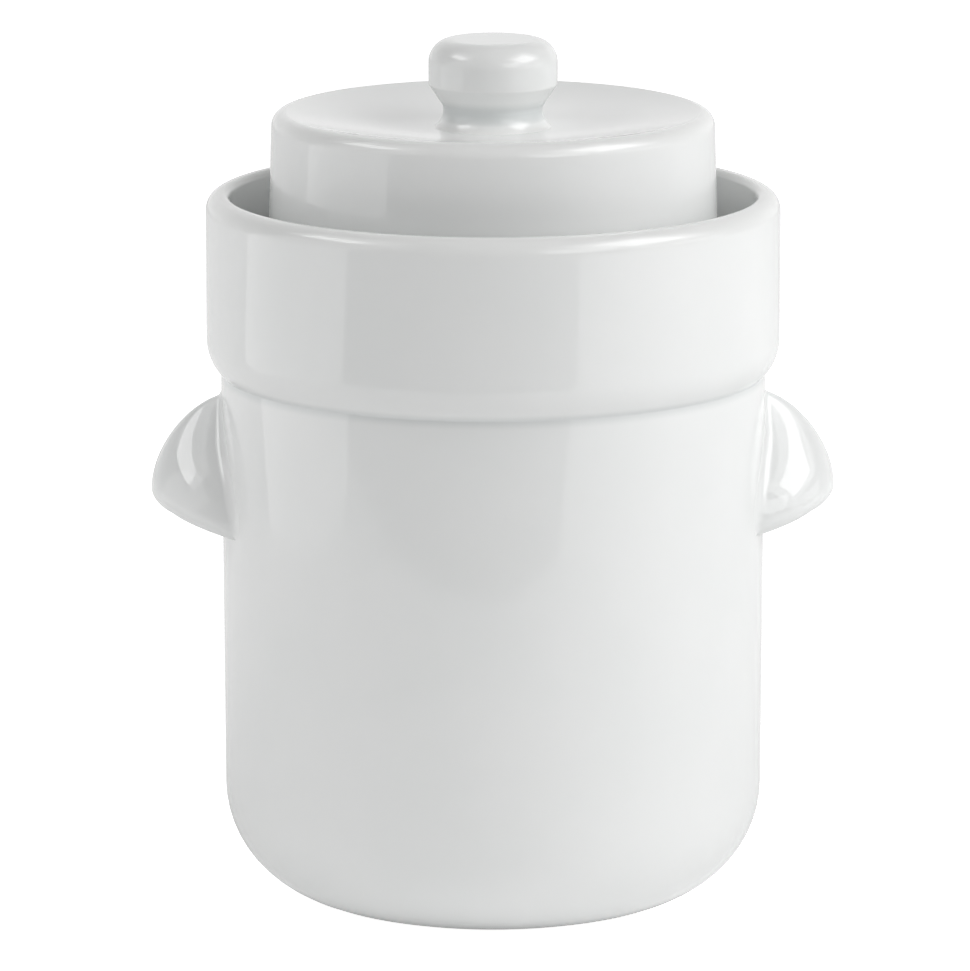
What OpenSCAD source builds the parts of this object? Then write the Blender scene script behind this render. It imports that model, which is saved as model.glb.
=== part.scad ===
// Water-seal fermentation crock in glazed stoneware: a pot with a gutter collar and two lug handles,
// a bell lid with a knob that stands in the gutter, and two half-round weight stones on the floor.
// Millimetres. The pot's axis is Z, the bench is z = 0 and the handles are on X.

/* [Pot] */
// Height of the crock from the bench to the collar's rim
crock_h = 218.2; // [200:0.2:250]
// Outer diameter of the pot where it meets the collar
pot_d = 166.4; // [156:0.2:180]
// How much narrower the pot is at its foot, on the diameter
pot_taper = 1.6; // [0:0.2:5]
// Thickness of the pot's wall
pot_wall = 7; // [5:0.5:9]
// Thickness of the pot's floor above the hollowed underside
floor_t = 7.5; // [6:0.5:12]
// Rounding of the pot's outer bottom corner
base_round = 35; // [25:1:45]
// Rounding inside the pot where its wall turns in under the gutter
shoulder_round = 14; // [8:0.5:15]
// Width of the ring that the crock stands on
foot_w = 8; // [5:0.5:14]
// How far the underside is hollowed inside the foot ring
foot_hollow = 2; // [1:0.25:4]

/* [Gutter collar and neck] */
// Height of the collar from the crease to its rim
collar_h = 55; // [45:1:70]
// How far the collar stands out beyond the pot
collar_overhang = 4.3; // [2:0.1:6]
// Thickness of the collar's wall
collar_wall = 7.4; // [6.5:0.1:9]
// Rounding of the rim on the outside
rim_round = 5; // [3:0.25:6]
// Rounding of the rim on the gutter's side
rim_inner_round = 2.2; // [1:0.1:2.4]
// Radius of the curve under the collar
collar_curve = 15; // [10:1:25]
// Width of the water gutter between neck and collar
gutter_w = 22; // [19:0.5:28]
// Rounding at the foot of the neck, inside and outside
neck_foot_round = 5; // [2:0.5:5.5]
// Height of the gutter's floor above the crease
ledge_h = 9; // [6:0.5:12]
// Thickness of the shoulder under the gutter
shoulder_t = 8.5; // [6:0.5:12]
// Thickness of the neck's wall
neck_wall = 6; // [4.5:0.5:8]
// How far the neck stands above the collar's rim
neck_rise = 3; // [0:0.5:8]

/* [Lid] */
// Thickness of the lid's skirt
lid_wall = 6; // [4.5:0.5:7.5]
// Thickness of the lid's top in the middle
lid_top_t = 6.5; // [5:0.5:10]
// How much wider the skirt is at its rim than at its shoulder, on the radius
lid_flare = 2; // [0:0.25:3]
// Rounding of the lid's shoulder
lid_round = 4.5; // [3:0.25:6]
// Rounding under the lid's top, inside the skirt
ceiling_round = 10; // [4:0.5:14]
// Depth of the dish in the lid's top
dish_depth = 4.8; // [2:0.2:7]
// Radius of the half-round gas vents in the skirt's rim
vent_r = 5; // [3:0.5:8]

/* [Knob] */
// Diameter of the knob
knob_d = 39.3; // [34:0.1:46]
// Height of the knob above the dish
knob_h = 26.8; // [23:0.2:34]
// Diameter of the knob's neck
knob_neck_d = 30.4; // [24:0.2:32]
// Diameter of the knob's foot on the lid
knob_foot_d = 35; // [33:0.5:40]
// Height of the flare from the knob's foot to its neck
knob_flare_h = 3; // [2:0.25:4]
// Height of the neck, up to where the knob's underside begins
knob_neck_h = 6.4; // [5:0.2:8]
// Height of the sloping underside
knob_under_h = 6.6; // [4:0.2:8]
// Rounding of the knob's top edge
knob_round = 7; // [4:0.5:8]

/* [Lug handles] */
// How far a lug stands out from the pot's wall
lug_reach = 21.5; // [16:0.1:28]
// Width of a lug at its lower lip
lug_w = 51.4; // [38:0.2:58]
// Height of a lug at the wall
lug_h = 42; // [34:0.2:48]
// Distance from the crease down to the top of a lug
lug_drop = 5.2; // [4:0.2:14]
// Thickness of a lug's shell over the finger hollow
lug_wall = 7; // [5:0.5:9]
// Angle at which a lug's underside rises outwards
lug_rise = 16; // [5:0.5:25]
// Rounding of a lug's lower lip
lug_lip = 4.6; // [2:0.2:6]
// Half the width of a lug's ridge at its top
lug_ridge = 3; // [1:0.1:6]

/* [Weight stones] */
// Thickness of a weight stone
weight_t = 16; // [10:1:24]
// Room between the stones and the pot's wall
weight_gap = 5; // [3:0.5:9]
// Slit between the two stones
weight_split = 2; // [1:0.5:4]
// Rounding of a stone's round edges
weight_edge = 3; // [1:0.5:5]
// Radius of the half-round finger notch in a stone's straight side
notch_r = 9; // [6:0.5:14]

/* [Fits] */
// Clearance where loose pieces rest on the pot
seat_gap = 0.3; // [0.2:0.05:0.5]
// Clearance between the neck and the lid's skirt at its rim
neck_gap = 5.4; // [4:0.2:7]
// Headroom between the neck's rim and the inside of the lid
headroom = 10.7; // [4:0.1:20]

/* [Hidden] */
$fn = 96;

// Steps in each rounded corner, in the dish and round a lug
arc_steps = 8;
dish_steps = 10;
lug_rings = 12;
lug_sides = 16;

// Small extra length where one shape cuts through another
past = 1;

// Pot
pot_r = pot_d / 2;
foot_wall_r = pot_r - pot_taper / 2;
crease_z = crock_h - collar_h;
foot_r = foot_wall_r - base_round;
floor_z = foot_hollow + floor_t;
inner_foot_r = foot_wall_r - pot_wall;
inner_r = pot_r - pot_wall;
inner_round = base_round - pot_wall;

// Collar, gutter and neck
collar_r = pot_r + collar_overhang;
gutter_r = collar_r - collar_wall;
gutter_z = crease_z + ledge_h;
neck_r = gutter_r - gutter_w;
mouth_r = neck_r - neck_wall;
neck_top = crock_h + neck_rise;
neck_round = neck_wall * 0.4;
curve_z = crease_z + sqrt(pow(collar_curve, 2) - pow(collar_curve - collar_overhang, 2));

// Lid and knob
skirt_z = gutter_z + seat_gap;
skirt_in_r = neck_r + neck_gap;
skirt_r = skirt_in_r + lid_wall;
lid_r = skirt_r - lid_flare;
ceiling_z = neck_top + headroom;
dish_z = ceiling_z + lid_top_t;
lid_top = dish_z + dish_depth;
lid_rim_r = lid_r - lid_round;
pad_r = knob_foot_d / 2 + past;
skirt_round = lid_wall * 0.35;
knob_r = knob_d / 2;
knob_neck_r = knob_neck_d / 2;

// Lug handles: each section is half an ellipse about a line just inside the wall
lug_side = lug_w / 2;
lug_sink = 2 * past;
lug_x = sqrt(pow(pot_r, 2) - pow(lug_side, 2)) - lug_sink;
lug_out = pot_r + lug_reach - lug_x;
lug_top = crease_z - lug_drop;
lug_belly = 0.85;
lug_fullness = 0.515;
lug_flare = 0.94;
lug_start = 0.02;
hollow_drop = lug_wall * 1.7;

// Weight stones: they rest where their rounded edge meets the curve at the foot of the pot's wall
weight_r = inner_foot_r - weight_gap;
weight_fall = sqrt(pow(inner_round - weight_edge - seat_gap, 2)
                 - pow(inner_round - weight_edge - weight_gap, 2));
weight_z = floor_z + inner_round - weight_fall - weight_edge;

GLAZE = [0.93, 0.93, 0.92];
STONE = [0.86, 0.84, 0.80];

// The flat part of a corner point, without its rounding
function flat(p) = [p[0], p[1]];

function unit(v) = v / norm(v);

// An angle brought into -180 to 180 degrees
function wrapped(a) = a > 180 ? a - 360 : a < -180 ? a + 360 : a;

// The arc of radius f that rounds corner b between its neighbours a and c
function corner_arc(a, b, c, f) =
    let (u = unit(a - b))
    let (v = unit(c - b))
    let (half = acos(u * v) / 2)
    let (centre = b + unit(u + v) * f / sin(half))
    let (from = b + u * f / tan(half) - centre)
    let (to = b + v * f / tan(half) - centre)
    let (start = atan2(from[1], from[0]))
    let (sweep = wrapped(atan2(to[1], to[0]) - start))
    [for (k = [0 : arc_steps])
        let (angle = start + sweep * k / arc_steps)
        centre + f * [cos(angle), sin(angle)]];

// A closed outline of [radius, height, rounding] corners with its roundings drawn in
function rounded(path) =
    let (n = len(path))
    [for (i = [0 : n - 1])
        let (b = path[i])
        each b[2] > 0
            ? corner_arc(flat(path[(i + n - 1) % n]), flat(b), flat(path[(i + 1) % n]), b[2])
            : [flat(b)]];

// A solid turned about Z from such an outline
module turned(path) {
    rotate_extrude()
        polygon(rounded(path));
}

// Floor, wall, shoulder and neck in one piece, with a step outside the gutter for the collar
module pot() {
    color(GLAZE)
        turned([
            [0, foot_hollow, 0],
            [foot_r - foot_w, foot_hollow, 0],
            [foot_r - foot_w, 0, 0],
            [foot_wall_r, 0, base_round],
            [pot_r, crease_z, 0],
            [gutter_r, crease_z, 0],
            [gutter_r, gutter_z, 0],
            [neck_r, gutter_z, neck_foot_round],
            [neck_r, neck_top, neck_round],
            [mouth_r, neck_top, neck_round],
            [mouth_r, gutter_z - shoulder_t, neck_foot_round],
            [inner_r, gutter_z - shoulder_t, shoulder_round],
            [inner_foot_r, floor_z, inner_round],
            [0, floor_z, 0]
        ]);
}

// Outer wall of the gutter, seated on the pot's step, with a curved underside
module gutter_collar() {
    lift = acos((collar_curve - collar_overhang) / collar_curve);
    curve = [for (k = [0 : arc_steps])
        let (angle = -lift * (1 - k / arc_steps))
        [collar_r - collar_curve * (1 - cos(angle)), curve_z + collar_curve * sin(angle), 0]];
    color(GLAZE)
        turned(concat(
            [[gutter_r, crease_z, 0]],
            curve,
            [[collar_r, crock_h, rim_round],
             [gutter_r, crock_h, min(rim_inner_round, collar_wall - rim_round)]]
        ));
}

// Share of a lug's full reach at share t of its height: a bulge that is full at the belly
function lug_swell(t) = pow(1 - pow(max(0, 1 - t / lug_belly), 2), lug_fullness);

// Share by which the lip is tucked in, from none at the belly to all at the bottom
function lug_tuck(t) = t <= lug_belly ? 0 : 1 - sqrt(1 - pow((t - lug_belly) / (1 - lug_belly), 2));

// Share of a lug's full width at share t of its height: it widens evenly and is full above the lip
function lug_spread(t) = pow(sin(90 * min(1, t / lug_flare)), 1.5);

// A point of a lug's skin at share t of its height and angle a round its section, which is half an ellipse
function lug_point(t, a, out, side, high, top, lip) =
    let (x = (out * lug_swell(t) - lip * lug_tuck(t)) * cos(a))
    let (half = lug_ridge + (side - lug_ridge) * lug_spread(t) - lip / 2 * lug_tuck(t))
    [lug_x + x, half * sin(a), top - high * t + tan(lug_rise) * x * t * t];

// An ear-shaped solid on the +X side: its sections grow from a ridge to a broad lip
module lug_form(out, side, high, top, lip) {
    row = lug_sides + 1;
    points = [for (i = [0 : lug_rings])
        let (t = lug_start + (1 - lug_start) * i / lug_rings)
        for (j = [0 : lug_sides])
            lug_point(t, 180 * j / lug_sides - 90, out, side, high, top, lip)];
    skin = [for (i = [0 : lug_rings - 1])
        for (j = [0 : lug_sides])
            let (a = i * row + j)
            let (b = i * row + (j + 1) % row)
            each [[a, b, b + row], [a, b + row, a + row]]];
    roof = [[for (j = [0 : lug_sides]) lug_sides - j]];
    sole = [[for (j = [0 : lug_sides]) lug_rings * row + j]];
    polyhedron(points = points, faces = concat(skin, roof, sole), convexity = 4);
}

// One hollow lug, cut to the pot's wall
module lug() {
    color(GLAZE)
        difference() {
            lug_form(lug_out, lug_side, lug_h, lug_top, lug_lip);
            lug_form(lug_out - lug_wall, lug_side - lug_wall, lug_h - hollow_drop + past,
                     lug_top - hollow_drop, 0);
            cylinder(h = crease_z, r1 = foot_wall_r, r2 = pot_r);
        }
}

module right_handle() {
    lug();
}

module left_handle() {
    rotate([0, 0, 180])
        lug();
}

// Bell lid: dished top, rounded shoulder and a skirt with two gas vents in its rim
module lid() {
    dish = [for (k = [0 : dish_steps])
        let (share = k / dish_steps)
        [pad_r + (lid_rim_r - pad_r) * share, dish_z + dish_depth * share * share, 0]];
    shoulder = [for (k = [1 : arc_steps])
        let (angle = 90 - 90 * k / arc_steps)
        [lid_rim_r + lid_round * cos(angle), lid_top - lid_round * (1 - sin(angle)), 0]];
    color(GLAZE)
        difference() {
            turned(concat(
                [[0, dish_z, 0]],
                dish,
                shoulder,
                [[skirt_r, skirt_z, skirt_round],
                 [skirt_in_r, skirt_z, skirt_round],
                 [skirt_in_r - lid_flare, ceiling_z, ceiling_round],
                 [0, ceiling_z, 0]]
            ));
            translate([0, 0, skirt_z])
                rotate([90, 0, 0])
                    cylinder(h = 2 * skirt_r + 2 * past, r = vent_r, center = true);
        }
}

// Knob with a waisted neck and a flared foot on the lid's dish
module lid_knob() {
    under_z = dish_z + knob_neck_h;
    color(GLAZE)
        turned([
            [0, dish_z, 0],
            [knob_foot_d / 2, dish_z, 0],
            [knob_neck_r, dish_z + knob_flare_h, knob_flare_h * 0.8],
            [knob_neck_r, under_z, knob_flare_h * 0.6],
            [knob_r, under_z + knob_under_h, knob_flare_h],
            [knob_r, dish_z + knob_h, knob_round],
            [0, dish_z + knob_h, 0]
        ]);
}

// Half-round weight stone on the +X side with a finger notch in its straight side
module weight() {
    color(STONE)
        translate([0, 0, weight_z])
            difference() {
                turned([
                    [0, 0, 0],
                    [weight_r, 0, weight_edge],
                    [weight_r, weight_t, weight_edge],
                    [0, weight_t, 0]
                ]);
                translate([weight_split / 2 - 2 * weight_r, -2 * weight_r, -past])
                    cube([2 * weight_r, 4 * weight_r, weight_t + 2 * past]);
                translate([weight_split / 2, 0, -past])
                    cylinder(h = weight_t + 2 * past, r = notch_r);
            }
}

module right_weight() {
    weight();
}

module left_weight() {
    rotate([0, 0, 180])
        weight();
}

pot();
gutter_collar();
left_handle();
right_handle();
lid();
lid_knob();
left_weight();
right_weight();
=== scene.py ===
import math

import bpy
import numpy as np
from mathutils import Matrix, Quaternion, Vector


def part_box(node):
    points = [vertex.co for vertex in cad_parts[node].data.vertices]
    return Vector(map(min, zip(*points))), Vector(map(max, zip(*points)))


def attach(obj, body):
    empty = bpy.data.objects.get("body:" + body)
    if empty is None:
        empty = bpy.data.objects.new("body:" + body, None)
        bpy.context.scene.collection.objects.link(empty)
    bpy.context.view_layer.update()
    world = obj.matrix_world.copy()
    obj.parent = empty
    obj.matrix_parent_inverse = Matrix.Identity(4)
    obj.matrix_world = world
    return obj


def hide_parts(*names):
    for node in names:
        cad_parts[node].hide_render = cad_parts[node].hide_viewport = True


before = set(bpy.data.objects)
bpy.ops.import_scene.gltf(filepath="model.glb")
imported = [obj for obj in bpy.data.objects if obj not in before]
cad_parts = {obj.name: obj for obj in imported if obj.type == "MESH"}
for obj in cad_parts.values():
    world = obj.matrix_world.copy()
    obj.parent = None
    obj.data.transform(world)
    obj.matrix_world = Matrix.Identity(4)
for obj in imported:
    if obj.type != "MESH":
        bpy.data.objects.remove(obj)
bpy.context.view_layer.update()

# Sizes read from the frame, in metres
pot_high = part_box("pot")[1]
collar_low, collar_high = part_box("gutter_collar")
lid_low, lid_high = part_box("lid")
knob_low, knob_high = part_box("lid_knob")
lug_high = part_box("right_handle")[1]
stone_low, stone_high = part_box("right_weight")

# Pot: wall, rounded base, foot ring, gutter floor and neck
POT_R = pot_high.x
CREASE_Z = collar_low.z
FOOT_WALL_R = POT_R - 0.0008
BASE_ROUND = 0.035
FOOT_R = FOOT_WALL_R - BASE_ROUND
FOOT_W = 0.008
FOOT_HOLLOW = 0.002
FOOT_SOFT = 0.0009
WALL = 0.007
FLOOR_Z = 0.0095
GUTTER_Z = CREASE_Z + 0.009
GUTTER_COVE = 0.005
SHOULDER_T = 0.0085
SHOULDER_ROUND = 0.014
NECK_R = 0.0581
NECK_WALL = 0.006
NECK_TOP = pot_high.z
NECK_ROUND = 0.0026

# Collar: outer wall of the gutter
COLLAR_R = collar_high.x
COLLAR_WALL = 0.0074
GUTTER_R = COLLAR_R - COLLAR_WALL
RIM_Z = collar_high.z
RIM_ROUND = 0.005
RIM_INNER_ROUND = 0.0022
COLLAR_CURVE = 0.015
CREASE_COVE = 0.0005
COLLAR_TUCK = 0.0016
COLLAR_STEP = 0.00002

# Painted shade in the crease between pot and collar, partly glaze that gathers there
CREASE_POOL_AND_SHADE = 0.34
CREASE_POOL_AND_SHADE_W = 0.0013

# Hidden laps of the pot inside the collar
LAP = 0.001
GUTTER_LAP_TOP = 0.0003
GUTTER_LAP_FOOT = 0.0002

# Lid: dished top, shoulder, flared skirt with two vents
SKIRT_R = lid_high.x
SKIRT_Z = lid_low.z
LID_TOP = lid_high.z
LID_WALL = 0.006
LID_FLARE = 0.002
LID_R = SKIRT_R - LID_FLARE
LID_ROUND = 0.0045
DISH_Z = knob_low.z
DISH_START = 0.0185
LID_TOP_T = 0.0065
CEILING_ROUND = 0.010
SKIRT_SOFT = LID_WALL * 0.35
VENT_R = 0.005
VENT_TURN = 0.085
VENT_COLUMNS = 61

# Knob
KNOB_R = knob_high.x
KNOB_TOP = knob_high.z
KNOB_NECK_R = 0.0152
KNOB_FOOT_R = 0.0178
KNOB_FLARE = 0.0063
KNOB_FLARE_H = 0.00195
KNOB_NECK_H = 0.0064
KNOB_UNDER_H = 0.0066
KNOB_WAIST_ROUND = 0.0022
KNOB_EDGE_ROUND = 0.0011
KNOB_ROUND = 0.007
KNOB_SUNK = 0.0004
KNOB_STEP = 0.00003

# Lug handles: half ellipses about a line inside the pot's wall
LUG_ROOT = 0.07713
LUG_OUT = lug_high.x - LUG_ROOT
LUG_SIDE = 0.0257
LUG_TOP = lug_high.z
LUG_H = 0.042
LUG_WALL = 0.007
LUG_DROP = LUG_WALL * 1.7
LUG_LIP = 0.0046
LUG_RIDGE = 0.003
LUG_RISE = math.tan(math.radians(16))
LUG_BELLY = 0.85
LUG_FULLNESS = 0.515
LUG_FLARE = 0.94
LUG_LIP_BOW = 0.15
LUG_TOP_COVE = 0.001
LUG_COVE = 0.003
LUG_HOLLOW_COVE = 0.0015

# Weight stones
STONE_R = stone_high.x
STONE_SIDE = stone_low.x
STONE_EDGE = 0.003
STONE_NOTCH = 0.009

# Mesh fineness
COLUMNS = 256
ARC_STEPS = 14
SPAN_STEPS = 12


# Outlines and meshes

def crowded(count):
    """Shares from 0 to 1 that crowd towards both ends: (1 - cos(pi k)) / 2 for even k."""
    return (1 - np.cos(np.linspace(0, math.pi, count))) / 2


def corner_arc(before, corner, after, radius):
    """Arc of the radius tangent to both sides of a corner: its centre lies on the corner's bisector at
    radius / sin(half angle), and points swing from one touching point to the other."""
    u = (before - corner) / np.linalg.norm(before - corner)
    v = (after - corner) / np.linalg.norm(after - corner)
    half = math.acos(np.clip(u @ v, -1, 1)) / 2
    centre = corner + (u + v) / np.linalg.norm(u + v) * radius / math.sin(half)
    start = corner + u * radius / math.tan(half) - centre
    end = corner + v * radius / math.tan(half) - centre
    sweep = math.pi - 2 * half
    share = np.linspace(0, 1, ARC_STEPS + 1)[:, None]
    return centre + (np.sin((1 - share) * sweep) * start + np.sin(share * sweep) * end) / math.sin(sweep)


def rounded_outline(corners, loop=False):
    """Outline through corners (radius, height, rounding): straight spans whose points crowd towards their
    ends, joined by arcs of the given rounding."""
    flat = [np.array(c[:2], float) for c in corners]
    count = len(flat)
    bends = []
    for i, corner in enumerate(corners):
        inside = loop or 0 < i < count - 1
        if inside and len(corner) > 2:
            bends.append(corner_arc(flat[i - 1], flat[i], flat[(i + 1) % count], corner[2]))
        else:
            bends.append(flat[i][None])
    spans = []
    share = crowded(SPAN_STEPS)[1:-1, None]
    for i in range(count if loop else count - 1):
        start = bends[i][-1]
        end = bends[(i + 1) % count][0]
        spans += [bends[i], start + (end - start) * share]
    if not loop:
        spans.append(bends[-1])
    return np.concatenate(spans)


def gathered_glaze_and_shade(outline, loop=False, reach=0.0018):
    """How much the outline turns within a short reach of each point, in right angles: above 0 on a rounded
    edge, where glaze runs thin, and below 0 in a corner, where glaze gathers and the darker tone it
    drives is partly painted shade."""
    ahead = np.roll(outline, -1, axis=0) - outline
    behind = outline - np.roll(outline, 1, axis=0)
    turn = np.arctan2(behind[:, 0] * ahead[:, 1] - behind[:, 1] * ahead[:, 0], (behind * ahead).sum(1))
    if not loop:
        turn[[0, -1]] = 0
    along = np.concatenate([[0], np.cumsum(np.linalg.norm(ahead[:-1], axis=1))])
    apart = np.abs(along[:, None] - along)
    if loop:
        whole = along[-1] + np.linalg.norm(ahead[-1])
        apart = np.minimum(apart, whole - apart)
    return np.exp(-0.5 * (apart / reach) ** 2) @ turn / (math.pi / 2)


def ring_mesh(name, grid, ends=None, wrap=False, caps=(), edge=None):
    """Mesh over a grid of rings (rings, points round, 3): quads between rings, closed round each ring, and
    either closed from the last ring to the first, or closed by a fan to an end point on each side, or by
    the cap faces given."""
    rings, around = grid.shape[:2]
    ids = np.arange(rings * around).reshape(rings, around)
    low = ids if wrap else ids[:-1]
    high = np.roll(ids, -1, axis=0) if wrap else ids[1:]
    quads = np.stack([low, np.roll(low, -1, 1), np.roll(high, -1, 1), high], axis=-1).reshape(-1, 4)
    points = grid.reshape(-1, 3)
    faces = quads.tolist() + [list(cap) for cap in caps]
    if ends is not None:
        first = np.full(around, len(points))
        faces += np.stack([np.roll(ids[0], -1), ids[0], first], axis=-1).tolist()
        faces += np.stack([ids[-1], np.roll(ids[-1], -1), first + 1], axis=-1).tolist()
        points = np.concatenate([points, np.array(ends, float)])
    mesh = bpy.data.meshes.new(name)
    mesh.from_pydata(points.tolist(), [], faces)
    mesh.validate()
    mesh.shade_smooth()
    if edge is not None:
        values = np.zeros(len(points), np.float32)
        values[:edge.size] = edge.reshape(-1)
        mesh.attributes.new("edge", "FLOAT", "POINT").data.foreach_set("value", values)
    piece = bpy.data.objects.new(name, mesh)
    bpy.context.scene.collection.objects.link(piece)
    return piece


def turned(name, outline, loop=False, turn=None, shape=None):
    """Surface of revolution: outline point (r, z) at turn a lies at (r cos a, r sin a, z). An open outline
    starts and ends on the axis, which closes its two poles. shape may then bend the grid. The crease between
    pot and collar is darkened as a bell curve of the distance from it: painted shade, partly glaze that
    gathers there."""
    if turn is None:
        turn = np.linspace(0, 2 * math.pi, COLUMNS, endpoint=False)
    rows = outline if loop else outline[1:-1]
    r = rows[:, :1]
    grid = np.stack([r * np.cos(turn), r * np.sin(turn), rows[:, 1:] + 0 * turn], axis=2)
    if shape is not None:
        grid = shape(grid)
    glaze = gathered_glaze_and_shade(outline, loop)
    # Painted shade: a darker band along the crease between pot and collar, partly glaze gathering there
    apart = np.hypot(outline[:, 0] - POT_R, outline[:, 1] - CREASE_Z)
    crease = CREASE_POOL_AND_SHADE * np.exp(-0.5 * (apart / CREASE_POOL_AND_SHADE_W) ** 2)
    glaze = np.where(apart < 3 * CREASE_POOL_AND_SHADE_W, -crease, glaze)
    edge = np.repeat((glaze if loop else glaze[1:-1])[:, None], len(turn), axis=1)
    ends = None if loop else [(0, 0, outline[0, 1]), (0, 0, outline[-1, 1])]
    return ring_mesh(name, grid, ends, loop, edge=edge)


# Pieces of the crock

def make_pot():
    """Pot, turned: foot ring, rounded base, gently opening wall, gutter floor with a cove up the collar,
    neck, shoulder inside, wall inside and floor."""
    roof = GUTTER_Z - SHOULDER_T
    band = 6 * CREASE_POOL_AND_SHADE_W
    outline = rounded_outline([
        (0, FOOT_HOLLOW),
        (FOOT_R - FOOT_W, FOOT_HOLLOW, FOOT_SOFT),
        (FOOT_R - FOOT_W, 0, FOOT_SOFT),
        (FOOT_WALL_R, 0, BASE_ROUND),
        (POT_R + (FOOT_WALL_R - POT_R) * band / CREASE_Z, CREASE_Z - band),
        (POT_R, CREASE_Z),
        (GUTTER_R + COLLAR_WALL / 2, CREASE_Z + LAP),
        (GUTTER_R + GUTTER_LAP_TOP, GUTTER_Z + GUTTER_COVE),
        (GUTTER_R + GUTTER_LAP_FOOT, GUTTER_Z, GUTTER_COVE),
        (NECK_R, GUTTER_Z, GUTTER_COVE),
        (NECK_R, NECK_TOP, NECK_ROUND),
        (NECK_R - NECK_WALL, NECK_TOP, NECK_ROUND),
        (NECK_R - NECK_WALL, roof, GUTTER_COVE),
        (POT_R - WALL, roof, SHOULDER_ROUND),
        (FOOT_WALL_R - WALL, FLOOR_Z, BASE_ROUND - WALL),
        (0, FLOOR_Z),
    ])
    return turned("crock_pot", outline)


def make_collar():
    """Collar, turned: a ring with a rounded rim and an underside that curves in on an arc and runs out on
    the pot's wall in a small cove."""
    overhang = COLLAR_R - POT_R
    lift = math.acos(1 - overhang / COLLAR_CURVE)
    curve_z = CREASE_Z + COLLAR_CURVE * math.sin(lift)
    angle = np.linspace(-lift, 0, ARC_STEPS + 1)
    curve = np.stack([COLLAR_R - COLLAR_CURVE * (1 - np.cos(angle)),
                      curve_z + COLLAR_CURVE * np.sin(angle)], axis=1)
    foot = rounded_outline([
        (GUTTER_R + LAP, CREASE_Z + LAP),
        (POT_R - COLLAR_TUCK, CREASE_Z - 2 * CREASE_COVE),
        (POT_R - COLLAR_STEP, CREASE_Z - 2 * CREASE_COVE),
        (POT_R, CREASE_Z, CREASE_COVE * 2),
        tuple(curve[2]),
    ])
    rim = rounded_outline([
        tuple(curve[-1]),
        (COLLAR_R, RIM_Z, RIM_ROUND),
        (GUTTER_R, RIM_Z, RIM_INNER_ROUND),
        (GUTTER_R, CREASE_Z + 2 * LAP),
    ])
    outline = np.concatenate([foot, curve[3:-1], rim])
    return turned("gutter_ring", outline, loop=True)


def make_lid():
    """Lid, turned: ceiling, skirt with two vents, shoulder arc and a dish that rises as the square of the
    share of its width. A vent lifts the skirt's rim by the height of a half circle."""
    rim_r = LID_R - LID_ROUND
    ceiling_z = DISH_Z - LID_TOP_T
    skirt_in = SKIRT_R - LID_WALL
    bell = rounded_outline([
        (0, ceiling_z),
        (skirt_in - LID_FLARE, ceiling_z, CEILING_ROUND),
        (skirt_in, SKIRT_Z, SKIRT_SOFT),
        (SKIRT_R, SKIRT_Z, SKIRT_SOFT),
        (LID_R, LID_TOP - LID_ROUND),
    ])
    angle = np.linspace(0, math.pi / 2, ARC_STEPS + 1)
    shoulder = np.stack([rim_r + LID_ROUND * np.cos(angle),
                         LID_TOP - LID_ROUND * (1 - np.sin(angle))], axis=1)
    share = crowded(4 * SPAN_STEPS)[::-1]
    dish = np.stack([DISH_START + (rim_r - DISH_START) * share,
                     DISH_Z + (LID_TOP - DISH_Z) * share ** 2], axis=1)
    outline = np.concatenate([bell, shoulder[1:], dish[1:], [(0, DISH_Z)]])

    def cut_vents(grid):
        band = SKIRT_Z + 3 * VENT_R
        rise = VENT_R * np.sqrt(np.clip(1 - (grid[..., 0] / VENT_R) ** 2, 0, 1))
        depth = np.clip((band - grid[..., 2]) / (band - SKIRT_Z), 0, 1)
        grid[..., 2] += rise * depth
        return grid

    even = np.linspace(0, 2 * math.pi, COLUMNS, endpoint=False)
    fine = np.linspace(-VENT_TURN, VENT_TURN, VENT_COLUMNS)
    turn = np.unique(np.concatenate([even, math.pi / 2 + fine, 3 * math.pi / 2 + fine]).round(5))
    return turned("bell_lid", outline, turn=turn, shape=cut_vents)


def make_knob():
    """Knob, turned: foot flaring on a wide arc, waist, sloping underside with a crisp edge, rounded top."""
    under_z = DISH_Z + KNOB_NECK_H
    outline = rounded_outline([
        (0, DISH_Z - KNOB_SUNK),
        (KNOB_FOOT_R, DISH_Z - KNOB_SUNK),
        (KNOB_FOOT_R, DISH_Z + KNOB_STEP),
        (KNOB_NECK_R, DISH_Z + KNOB_FLARE_H, KNOB_FLARE),
        (KNOB_NECK_R, under_z, KNOB_WAIST_ROUND),
        (KNOB_R, under_z + KNOB_UNDER_H, KNOB_EDGE_ROUND),
        (KNOB_R, KNOB_TOP, KNOB_ROUND),
        (0, KNOB_TOP),
    ])
    return turned("lid_knob_top", outline)


def lug_skin(angle, t, out, side, high, top, lip):
    """Point of a lug at share t of its height and an angle round its section, half an ellipse: reach * cos a
    outwards and half * sin a across. The reach swells as (1 - (1 - t / belly)^2)^fullness and tucks in on a
    quarter circle below the belly; the half width grows as sin(pi / 2 * t / flare)^1.5 up to the flare; the
    underside rises outwards."""
    swell = (1 - np.clip(1 - t / LUG_BELLY, 0, 1) ** 2) ** LUG_FULLNESS
    past = np.clip((t - LUG_BELLY) / (1 - LUG_BELLY), 0, 1)
    tuck = 1 - np.sqrt(1 - past ** 2)
    reach = (out * swell - lip * tuck) * np.cos(angle)
    spread = np.sin(math.pi / 2 * np.clip(t / LUG_FLARE, 0, 1)) ** 1.5
    half = LUG_RIDGE + (side - LUG_RIDGE) * spread - lip / 2 * tuck
    return np.stack([LUG_ROOT + reach, half * np.sin(angle), top - high * t + LUG_RISE * reach * t ** 2], -1)


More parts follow.
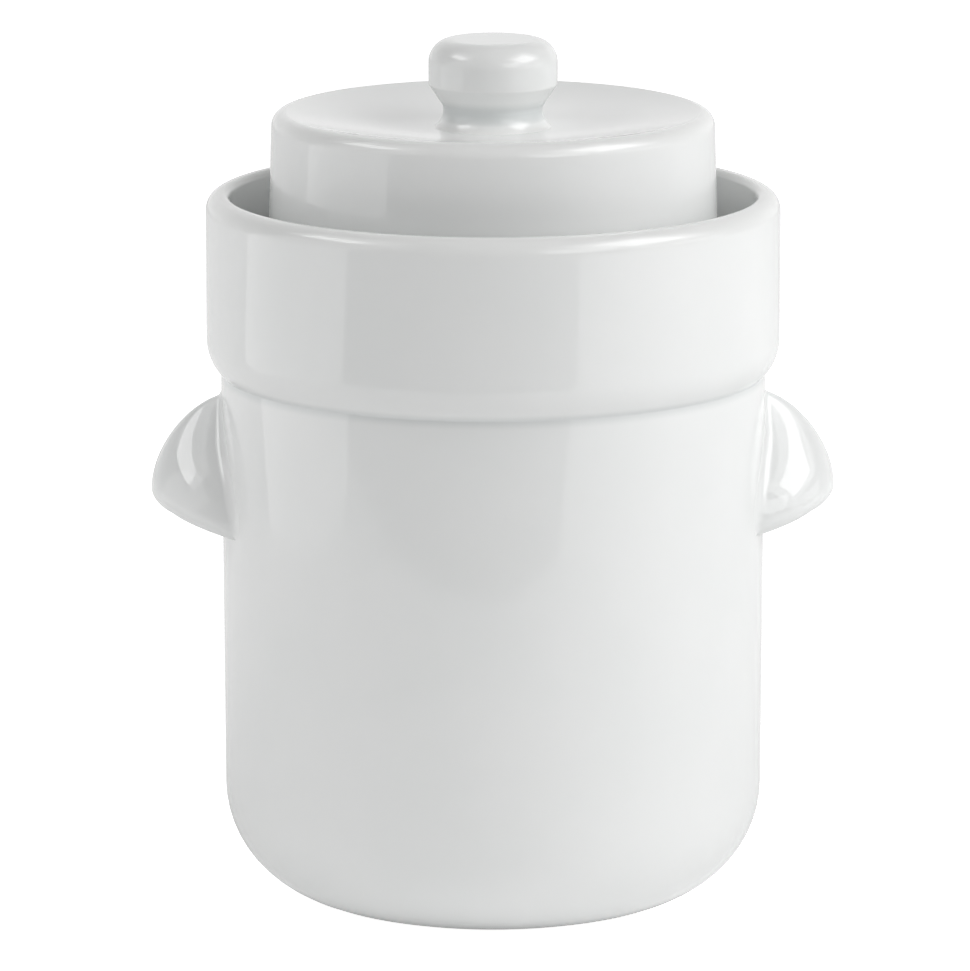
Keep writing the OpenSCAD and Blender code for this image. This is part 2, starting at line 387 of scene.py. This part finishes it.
def luted(grid, cove):
    """Runs a lug's skin out on the pot's wall in a cove, as luted clay does. A point at height h over the
    wall moves along the wall, away from the lug, by cove - sqrt(cove^2 - (cove - h)^2); below the wall it
    goes on just under the surface, pressed flat and drifting away from the lug."""
    sunk, deepest, drift, pressed = 0.00003, 0.002, 0.6, 0.06
    along = np.gradient(grid, axis=0)
    across = np.gradient(grid, axis=1)
    normal = np.cross(along, across)
    r = np.hypot(grid[..., 0], grid[..., 1])
    wall_r = FOOT_WALL_R + (POT_R - FOOT_WALL_R) * grid[..., 2] / CREASE_Z
    away = np.stack([grid[..., 0] / r, grid[..., 1] / r, 0 * r], -1)
    normal -= away * (normal * away).sum(-1, keepdims=True)
    normal /= np.linalg.norm(normal, axis=-1, keepdims=True) + 1e-12
    h = r - wall_r + sunk
    rest = np.clip(cove - h, 0, cove)
    slide = cove - np.sqrt(np.clip(cove ** 2 - rest ** 2, 0, None))
    slide = slide + np.clip(-h, 0, deepest) * drift
    height = np.where(h > 0, h, pressed * h) - sunk
    moved = grid + normal * slide[..., None]
    z = moved[..., 2]
    flat = np.hypot(moved[..., 0], moved[..., 1])
    new_r = FOOT_WALL_R + (POT_R - FOOT_WALL_R) * z / CREASE_Z + height
    scale = new_r / flat
    return np.stack([moved[..., 0] * scale, moved[..., 1] * scale, z], -1)


def make_lug(name, side_sign):
    """Lug: outer skin from its ridge down to the lip, a bowed lip, and the skin of the finger hollow back up,
    all carried round the sections from one end to the other. The outer cove widens over the top third and
    fades over the last fifth, towards the lip."""
    sections = 240
    rows = 72
    lip_rows = 9
    fade_start = 0.8
    fade_depth = 0.85
    angle = np.linspace(math.pi / 2, -math.pi / 2, sections)[:, None]
    t = np.linspace(0.0, 1, rows)[None] ** 2
    outer = lug_skin(angle, t, LUG_OUT, LUG_SIDE, LUG_H, LUG_TOP, LUG_LIP)
    inner = lug_skin(angle, t, LUG_OUT - LUG_WALL, LUG_SIDE - LUG_WALL, LUG_H - LUG_DROP,
                     LUG_TOP - LUG_DROP, 0)
    start = outer[:, -1:]
    end = inner[:, -1:]
    bow = np.linspace(0, math.pi, lip_rows + 2)[1:-1][None, :, None]
    width = np.linalg.norm(end - start, axis=-1, keepdims=True)
    lip = (start + end) / 2 + (start - end) / 2 * np.cos(bow)
    lip = lip - np.array([0, 0, LUG_LIP_BOW]) * width * np.sin(bow)
    fade = 1 - fade_depth * np.clip((t - fade_start) / (1 - fade_start), 0, 1) ** 2
    cove = (LUG_TOP_COVE + (LUG_COVE - LUG_TOP_COVE) * np.clip(t * 3, 0, 1)) * fade
    outer = luted(outer, cove)
    inner = luted(inner[:, ::-1], np.full((1, rows), LUG_HOLLOW_COVE))
    grid = np.concatenate([outer, lip, inner], axis=1)[::-1]
    loop = grid.shape[1]
    inside = loop - 1
    first = np.arange(rows - 1)
    quads = np.stack([first, first + 1, inside - first - 1, inside - first], axis=-1)
    end_lip = np.arange(rows - 1, rows + lip_rows + 1)
    last = (sections - 1) * loop
    caps = quads[:, ::-1].tolist() + [end_lip[::-1].tolist()]
    caps += (quads + last).tolist() + [(end_lip + last).tolist()]
    grid[..., :2] *= side_sign
    edge = np.zeros(grid.shape[:2])
    edge[:, rows:rows + lip_rows] = 0.5
    return ring_mesh(name, grid, caps=caps, edge=edge)


def make_stone(name, side_sign):
    """Weight stone: a half disc with a finger notch in its straight side. Its plan is arc, straight and notch
    spaced evenly and softened by a low-pass filter, just enough for its corners to take the rounded edge; rings
    of it are inset along its normals on the rounded edges, and one cap closes each flat face."""
    count = 512
    soft = STONE_EDGE * 1.27
    corner = math.acos(STONE_SIDE / STONE_R)
    arc = np.linspace(-corner, corner, 400)
    rim = np.stack([STONE_R * np.cos(arc), STONE_R * np.sin(arc)], -1)
    bite = np.linspace(math.pi / 2, -math.pi / 2, 100)
    notch = np.stack([STONE_SIDE + STONE_NOTCH * np.cos(bite), STONE_NOTCH * np.sin(bite)], -1)
    plan = np.concatenate([rim, notch, rim[:1]])
    along = np.concatenate([[0], np.cumsum(np.linalg.norm(np.diff(plan, axis=0), axis=1))])
    even = np.linspace(0, along[-1], count, endpoint=False)
    plan = np.stack([np.interp(even, along, plan[:, 0]), np.interp(even, along, plan[:, 1])], -1)
    wave = np.fft.fftfreq(count, along[-1] / count) * 2 * math.pi
    calm = np.exp(-0.5 * (wave * soft) ** 2)[:, None]
    plan = np.fft.ifft(np.fft.fft(plan, axis=0) * calm, axis=0).real
    ahead = np.roll(plan, -1, axis=0) - np.roll(plan, 1, axis=0)
    outwards = np.stack([ahead[:, 1], -ahead[:, 0]], -1) / np.linalg.norm(ahead, axis=1, keepdims=True)
    bend = np.linspace(0, math.pi / 2, 9)
    inset = STONE_EDGE * (1 - np.sin(bend))
    rise = STONE_EDGE * (1 - np.cos(bend))
    low, high = stone_low.z, stone_high.z
    insets = np.concatenate([inset, inset[::-1]])
    heights = np.concatenate([low + rise, high - rise[::-1]])
    plans = plan[None] - outwards[None] * insets[:, None, None]
    z = np.broadcast_to(heights[:, None, None], plans.shape[:2] + (1,))
    grid = np.concatenate([plans, z], axis=2)
    grid[..., :2] *= side_sign
    first = np.arange(count)
    caps = [first[::-1].tolist(), (first + count * (len(insets) - 1)).tolist()]
    return ring_mesh(name, grid, caps=caps)


# Materials

def add(tree, kind, **values):
    """A node of this kind, with its settings, and its inputs by name where a setting has no such name."""
    node = tree.nodes.new(kind)
    for key, value in values.items():
        if hasattr(node, key):
            setattr(node, key, value)
        else:
            node.inputs[key.replace("_", " ")].default_value = value
    return node


def mixed(tree, factor, first, second):
    """Colour between first and second by a linked factor; each may be a socket or a plain colour."""
    node = add(tree, "ShaderNodeMix", data_type="RGBA")
    tree.links.new(factor, node.inputs[0])
    for socket, value in ((node.inputs[6], first), (node.inputs[7], second)):
        if isinstance(value, bpy.types.NodeSocket):
            tree.links.new(value, socket)
        else:
            socket.default_value = (*value, 1)
    return node.outputs[2]


def ranged(tree, value, low, high, start, end):
    """A linked value carried from low..high to start..end and held there."""
    node = add(tree, "ShaderNodeMapRange")
    tree.links.new(value, node.inputs[0])
    for socket, number in zip(node.inputs[1:5], (low, high, start, end)):
        socket.default_value = number
    return node.outputs[0]


def noise(tree, place, scale, detail=2.0, roughness=0.5):
    """Noise value at a linked place."""
    node = add(tree, "ShaderNodeTexNoise", Scale=scale, Detail=detail, Roughness=roughness)
    tree.links.new(place, node.inputs["Vector"])
    return node.outputs["Fac"]


def added(tree, first, second, share):
    """first + second * share."""
    node = add(tree, "ShaderNodeMath", operation="MULTIPLY_ADD")
    tree.links.new(second, node.inputs[0])
    node.inputs[1].default_value = share
    tree.links.new(first, node.inputs[2])
    return node.outputs[0]


def new_group(name, inputs, outputs):
    """Shader node group with named float, vector or colour sockets; returns its tree, inlet and outlet."""
    group = bpy.data.node_groups.new(name, "ShaderNodeTree")
    for label, kind in inputs:
        group.interface.new_socket(label, in_out="INPUT", socket_type=kind)
    for label, kind in outputs:
        group.interface.new_socket(label, in_out="OUTPUT", socket_type=kind)
    return group, group.nodes.new("NodeGroupInput"), group.nodes.new("NodeGroupOutput")


def make_glaze_group():
    """White glaze: a faint cloudiness, a darker, cooler tone in corners and creases that is partly glaze
    gathering there and partly painted shade, a warmer, slightly duller one where it runs thin on edges, and
    a height of slow sway with fine peel."""
    group, inlet, outlet = new_group(
        "white_glaze",
        [("Place", "NodeSocketVector"), ("Edge", "NodeSocketFloat")],
        [("Color", "NodeSocketColor"), ("Roughness", "NodeSocketFloat"), ("Height", "NodeSocketFloat")])
    place = inlet.outputs["Place"]
    edge = inlet.outputs["Edge"]
    cloud = ranged(group, noise(group, place, 24, 3), 0.35, 0.65, 0, 1)
    body = mixed(group, cloud, (0.890, 0.903, 0.897), (0.908, 0.917, 0.912))
    # Painted shade: corners and creases take a darker, cooler tone, partly gathered glaze and partly shade
    pooled_and_shaded = mixed(group, ranged(group, edge, -0.55, -0.04, 0.85, 0), body, (0.66, 0.69, 0.69))
    tone = mixed(group, ranged(group, edge, 0.1, 0.9, 0, 0.5), pooled_and_shaded, (0.905, 0.903, 0.889))
    smear = noise(group, place, 60, 2)
    rough = added(group, ranged(group, smear, 0.3, 0.7, 0.04, 0.065), edge, 0.015)
    height = added(group, noise(group, place, 26, 1), noise(group, place, 520, 2), 0.035)
    group.links.new(tone, outlet.inputs["Color"])
    group.links.new(rough, outlet.inputs["Roughness"])
    group.links.new(height, outlet.inputs["Height"])
    return group


def make_clay_group():
    """Bare fired clay: warm tone with darker grains and a sandy height."""
    group, inlet, outlet = new_group(
        "bare_clay",
        [("Place", "NodeSocketVector")],
        [("Color", "NodeSocketColor"), ("Roughness", "NodeSocketFloat"), ("Height", "NodeSocketFloat")])
    place = inlet.outputs["Place"]
    cloud = ranged(group, noise(group, place, 45, 4), 0.3, 0.7, 0, 1)
    body = mixed(group, cloud, (0.56, 0.505, 0.43), (0.66, 0.61, 0.535))
    grain = noise(group, place, 1100, 2)
    sandy = mixed(group, ranged(group, grain, 0.58, 0.75, 0, 0.55), body, (0.33, 0.27, 0.21))
    chalk = noise(group, place, 700, 2)
    pale = mixed(group, ranged(group, chalk, 0.6, 0.75, 0, 0.5), sandy, (0.74, 0.70, 0.63))
    rough = ranged(group, cloud, 0, 1, 0.72, 0.86)
    height = added(group, noise(group, place, 900, 3), noise(group, place, 90, 2), 2.0)
    group.links.new(pale, outlet.inputs["Color"])
    group.links.new(rough, outlet.inputs["Roughness"])
    group.links.new(height, outlet.inputs["Height"])
    return group


def place_group(tree, group, place):
    """A node for the group, fed with the linked place."""
    node = add(tree, "ShaderNodeGroup")
    node.node_tree = group
    tree.links.new(place, node.inputs["Place"])
    return node


def new_material(name):
    """Material with a Principled shader, its tree and the Object coordinates."""
    material = bpy.data.materials.new(name)
    material.use_nodes = True
    tree = material.node_tree
    shader = tree.nodes["Principled BSDF"]
    place = add(tree, "ShaderNodeTexCoord").outputs["Object"]
    return material, tree, shader, place


def bumped(tree, height, shader, strength, distance):
    """Lets a linked height tilt the shader's normal."""
    bump = add(tree, "ShaderNodeBump", Strength=strength, Distance=distance)
    tree.links.new(height, bump.inputs["Height"])
    tree.links.new(bump.outputs[0], shader.inputs["Normal"])


def make_glaze(name, foot):
    """Glossy white glaze. With a foot, the lowest half millimetre is wiped bare, as the ring that stood in the
    kiln is."""
    material, tree, shader, place = new_material(name)
    glaze = place_group(tree, glaze_group, place)
    edge = add(tree, "ShaderNodeAttribute", attribute_name="edge")
    tree.links.new(edge.outputs["Fac"], glaze.inputs["Edge"])
    color = glaze.outputs["Color"]
    rough = glaze.outputs["Roughness"]
    height = glaze.outputs["Height"]
    if foot:
        clay = place_group(tree, clay_group, place)
        parts = add(tree, "ShaderNodeSeparateXYZ")
        tree.links.new(place, parts.inputs[0])
        bare = ranged(tree, parts.outputs["Z"], 0.0003, 0.0005, 1, 0)
        color = mixed(tree, bare, color, clay.outputs["Color"])
        blend = add(tree, "ShaderNodeMix", data_type="FLOAT")
        tree.links.new(bare, blend.inputs[0])
        tree.links.new(rough, blend.inputs[2])
        tree.links.new(clay.outputs["Roughness"], blend.inputs[3])
        rough = blend.outputs[0]
    tree.links.new(color, shader.inputs["Base Color"])
    tree.links.new(rough, shader.inputs["Roughness"])
    shader.inputs["IOR"].default_value = 1.62
    bumped(tree, height, shader, 0.35, 0.0004)
    return material


def make_stoneware(name):
    """Matt bare clay, for the weight stones."""
    material, tree, shader, place = new_material(name)
    clay = place_group(tree, clay_group, place)
    tree.links.new(clay.outputs["Color"], shader.inputs["Base Color"])
    tree.links.new(clay.outputs["Roughness"], shader.inputs["Roughness"])
    bumped(tree, clay.outputs["Height"], shader, 0.5, 0.0003)
    return material


def finish_piece(piece, body, node, material):
    """Gives a piece its material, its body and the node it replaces."""
    piece.data.materials.append(material)
    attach(piece, body)
    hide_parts(node)


glaze_group = make_glaze_group()
clay_group = make_clay_group()
pot_glaze = make_glaze("pot_white_glaze", foot=True)
lid_glaze = make_glaze("lid_white_glaze", foot=False)
stoneware = make_stoneware("stone_bare_clay")

finish_piece(make_pot(), "crock", "pot", pot_glaze)
finish_piece(make_collar(), "crock", "gutter_collar", pot_glaze)
finish_piece(make_lug("left_lug", -1), "crock", "left_handle", pot_glaze)
finish_piece(make_lug("right_lug", 1), "crock", "right_handle", pot_glaze)
finish_piece(make_lid(), "lid", "lid", lid_glaze)
finish_piece(make_knob(), "lid", "lid_knob", lid_glaze)
finish_piece(make_stone("left_stone", -1), "left_weight", "left_weight", stoneware)
finish_piece(make_stone("right_stone", 1), "right_weight", "right_weight", stoneware)


# Studio: floor, lights and camera

FLOOR_REACH = 4.0
FLOOR_EDGE = [(-4.0, -2.8), (-0.75, -0.365), (-0.516, -0.433), (-0.302, -0.505), (-0.106, -0.537),
              (0.08, -0.554), (0.25, -0.57), (0.45, -0.8), (1.6, -2.4), (4.0, -2.8)]
FLOOR_GLOW = 0.1
FLOOR_BACK_GLOW = 0.42
FLOOR_GLOW_START = 0.05
FLOOR_GLOW_END = 0.6
FLOOR_SEEN = 0.85


def make_floor():
    """Pale floor: a flat sheet that reaches far behind and beside the crock and ends in front of it, where its
    edge shows as a dark bow in the glaze. Its glow grows towards the back."""
    back_edge = [(FLOOR_REACH, FLOOR_REACH), (-FLOOR_REACH, FLOOR_REACH)]
    corners = [(x, y, 0) for x, y in FLOOR_EDGE + back_edge]
    mesh = bpy.data.meshes.new("studio_floor")
    mesh.from_pydata(corners, [], [list(range(len(corners)))])
    floor = bpy.data.objects.new("studio_floor", mesh)
    bpy.context.scene.collection.objects.link(floor)
    material, tree, shader, place = new_material("studio_white")
    grain = ranged(tree, noise(tree, place, 6, 2), 0.3, 0.7, 0, 1)
    tree.links.new(mixed(tree, grain, (0.93, 0.93, 0.93), (0.94, 0.94, 0.94)), shader.inputs["Base Color"])
    shader.inputs["Roughness"].default_value = 0.9
    shader.inputs["Specular IOR Level"].default_value = 0.1
    shader.inputs["Emission Color"].default_value = (1, 1, 1, 1)
    parts = add(tree, "ShaderNodeSeparateXYZ")
    tree.links.new(place, parts.inputs[0])
    seen = add(tree, "ShaderNodeLightPath")
    pick = add(tree, "ShaderNodeMix", data_type="FLOAT")
    tree.links.new(seen.outputs["Is Camera Ray"], pick.inputs[0])
    glow = ranged(tree, parts.outputs["Y"], FLOOR_GLOW_START, FLOOR_GLOW_END, FLOOR_GLOW, FLOOR_BACK_GLOW)
    tree.links.new(glow, pick.inputs[2])
    pick.inputs[3].default_value = FLOOR_SEEN
    tree.links.new(pick.outputs[0], shader.inputs["Emission Strength"])
    mesh.materials.append(material)


def softbox(name, azimuth, elevation, distance, size, glow, aim=(0, 0, 0.13), roll=0):
    """Rectangular area light at an azimuth (0 towards the camera, 90 to the right) and elevation, facing aim
    and rolled about that line. glow is the brightness of its face; its power is glow * pi * area."""
    data = bpy.data.lights.new(name, "AREA")
    data.shape = "RECTANGLE"
    data.size, data.size_y = size
    data.energy = glow * math.pi * size[0] * size[1]
    lamp = bpy.data.objects.new(name, data)
    bpy.context.scene.collection.objects.link(lamp)
    a, e = math.radians(azimuth), math.radians(elevation)
    away = Vector((math.sin(a) * math.cos(e), -math.cos(a) * math.cos(e), math.sin(e)))
    lamp.location = Vector(aim) + away * distance
    lamp.rotation_mode = "QUATERNION"
    lamp.rotation_quaternion = (-away).to_track_quat("-Z", "Y") @ Quaternion((0, 0, 1), math.radians(roll))
    lamp.visible_camera = False
    return lamp


def make_world(back, front, overhead):
    """White surroundings behind the crock, dimmer all round and towards the camera, and dimmer again overhead
    by the share given; white to the camera."""
    world = bpy.data.worlds.new("studio_surroundings")
    world.use_nodes = True
    tree = world.node_tree
    shade = tree.nodes["Background"]
    shade.inputs["Color"].default_value = (1, 1, 1, 1)
    place = add(tree, "ShaderNodeTexCoord").outputs["Generated"]
    parts = add(tree, "ShaderNodeSeparateXYZ")
    tree.links.new(place, parts.inputs[0])
    round_glow = ranged(tree, parts.outputs["Y"], 0.35, 0.85, front, back)
    ceiling = add(tree, "ShaderNodeMath", operation="MULTIPLY")
    tree.links.new(round_glow, ceiling.inputs[0])
    tree.links.new(ranged(tree, parts.outputs["Z"], 0.3, 0.8, 1, overhead), ceiling.inputs[1])
    glow = ceiling.outputs[0]
    seen = add(tree, "ShaderNodeLightPath")
    pick = add(tree, "ShaderNodeMix", data_type="FLOAT")
    tree.links.new(seen.outputs["Is Camera Ray"], pick.inputs[0])
    tree.links.new(glow, pick.inputs[2])
    pick.inputs[3].default_value = 1.0
    tree.links.new(pick.outputs[0], shade.inputs["Strength"])
    bpy.context.scene.world = world


def make_camera():
    """Camera at the photograph's place, found by fitting the outlines: it looks at a point on the axis, and the
    shift puts that point where the photograph has it."""
    image_w, image_h = 970, 971
    focal_px = 7475.7
    seen_x, seen_y = 493.09, 479.40
    azimuth, elevation = math.radians(-2.2), math.radians(11.62)
    distance, target_z = 2.2934, 0.12875
    data = bpy.data.cameras.new("photo_camera")
    data.sensor_fit = "HORIZONTAL"
    data.sensor_width = 36
    data.lens = focal_px * data.sensor_width / image_w
    data.shift_x = (image_w / 2 - seen_x) / image_w
    data.shift_y = (seen_y - image_h / 2) / image_w
    data.clip_end = 20
    camera = bpy.data.objects.new("photo_camera", data)
    bpy.context.scene.collection.objects.link(camera)
    back = Vector((math.sin(azimuth) * math.cos(elevation), -math.cos(azimuth) * math.cos(elevation),
                   math.sin(elevation)))
    camera.location = Vector((0, 0, target_z)) + back * distance
    camera.rotation_mode = "QUATERNION"
    camera.rotation_quaternion = (-back).to_track_quat("-Z", "Y")
    bpy.context.scene.camera = camera


make_floor()
make_world(back=0.95, front=0.255, overhead=0.48)
softbox("right_softbox", 66, 40, 1.5, (1.35, 1.15), 1.3, roll=18)
softbox("right_softbox_core", 66, 40, 1.49, (0.8, 0.7), 2.6, roll=18)
softbox("right_low_softbox", 75, 8, 1.6, (1.4, 0.4), 0.95)
softbox("front_right_softbox", 32, 20, 1.6, (0.8, 0.7), 1.6)
softbox("left_panel", -90, 0, 0.6, (0.49, 1.2), 0.6, aim=(0, -0.29, 0.407), roll=-36)
softbox("left_softbox", -80, 50, 1.31, (0.9, 0.6), 0.9)
softbox("left_softbox_core", -80, 44, 1.3, (0.55, 0.34), 2.4)
make_camera()
bpy.context.scene.view_settings.view_transform = "Standard"
